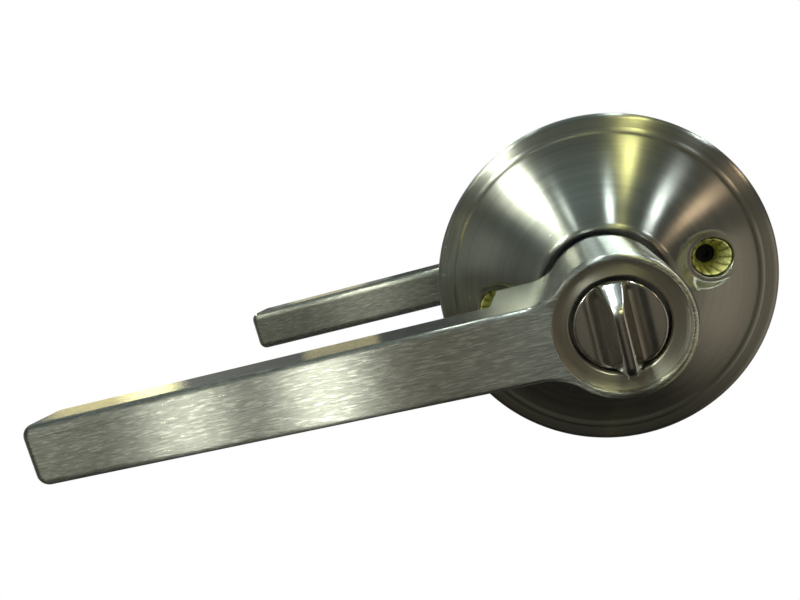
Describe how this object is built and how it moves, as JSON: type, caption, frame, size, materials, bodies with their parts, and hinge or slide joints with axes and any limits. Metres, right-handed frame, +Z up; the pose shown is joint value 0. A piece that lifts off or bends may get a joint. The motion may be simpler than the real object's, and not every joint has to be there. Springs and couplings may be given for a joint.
{
  "type": "door lever handle",
  "caption": "Privacy door lever set: round flared roses, straight flat levers, turn button inside, emergency release outside; outer half slides to suit the door.",
  "frame": {"origin": "on the spindle axis at the inner door face, which is the back of the inner rose", "axes": "+Y along the spindle from the inner side to the outer side, +Z up, both levers point to -X"},
  "size_m": [0.1456, 0.1233, 0.07],
  "materials": {
    "rose_nickel": "satin nickel, brushed round the axis",
    "lever_nickel": "satin nickel, brushed lengthwise",
    "insert_nickel": "satin nickel",
    "button_nickel": "polished nickel",
    "raw_steel": "plain drawn steel",
    "zinc_plate": "bright zinc plated steel",
    "nylon": "natural nylon",
    "spring_steel": "oiled spring steel",
    "black_steel": "black oxide",
    "yellow_zinc": "yellow passivated zinc"
  },
  "bodies": {
    "chassis": {"interior_rose": "rose_nickel", "interior_mounting_plate": "zinc_plate", "interior_spring_housing": "zinc_plate", "interior_housing_rivets": "raw_steel", "interior_bushing": "nylon", "interior_return_spring": "spring_steel", "screw_cups": "yellow_zinc", "through_bolts": "black_steel"},
    "outer_half": {"exterior_rose": "rose_nickel", "exterior_mounting_plate": "zinc_plate", "exterior_spring_housing": "zinc_plate", "exterior_housing_rivets": "raw_steel", "exterior_bushing": "nylon", "exterior_return_spring": "spring_steel", "threaded_posts": "yellow_zinc"},
    "inner_lever": {"interior_lever": "lever_nickel", "interior_hub_insert": "insert_nickel", "interior_set_screw": "black_steel", "interior_driver": "zinc_plate", "interior_retaining_ring": "spring_steel", "interior_wave_washer": "spring_steel", "turn_button_washer": "spring_steel", "spindle": "raw_steel"},
    "outer_lever": {"exterior_lever": "lever_nickel", "exterior_hub_insert": "insert_nickel", "exterior_set_screw": "black_steel", "exterior_driver": "zinc_plate", "exterior_retaining_ring": "spring_steel", "exterior_wave_washer": "spring_steel"},
    "privacy_turn": {"turn_button": "button_nickel", "privacy_rod": "raw_steel"},
    "release_turn": {"emergency_release": "raw_steel"}
  },
  "joints": [
    {"name": "door_fit_slide", "type": "slide", "parent": "chassis", "child": "outer_half", "axis": [0, 1, 0], "range_m": [0, 0.016]},
    {"name": "inner_lever_turn", "type": "hinge", "parent": "chassis", "child": "inner_lever", "pos_m": [0, -0.02, 0], "axis": [0, -1, 0], "range_deg": [-50, 50], "stiffness_Nm_per_rad": 2, "springref_deg": -1.72, "deforming": ["interior_return_spring"]},
    {"name": "outer_lever_turn", "type": "hinge", "parent": "outer_half", "child": "outer_lever", "pos_m": [0, 0.042, 0], "axis": [0, -1, 0], "range_deg": [-50, 50], "stiffness_Nm_per_rad": 2, "springref_deg": -1.72, "deforming": ["exterior_return_spring"]},
    {"name": "privacy_button_turn", "type": "hinge", "parent": "inner_lever", "child": "privacy_turn", "pos_m": [0, -0.048, 0], "axis": [0, 1, 0], "range_deg": [0, 90]},
    {"name": "emergency_release_turn", "type": "hinge", "parent": "outer_lever", "child": "release_turn", "pos_m": [0, 0.068, 0], "axis": [0, 1, 0], "range_deg": [0, 90]}
  ],
  "couplings": [
    {"joint": "outer_lever_turn", "follows": "inner_lever_turn", "ratio": 1},
    {"joint": "emergency_release_turn", "follows": "privacy_button_turn", "ratio": 1}
  ]
}
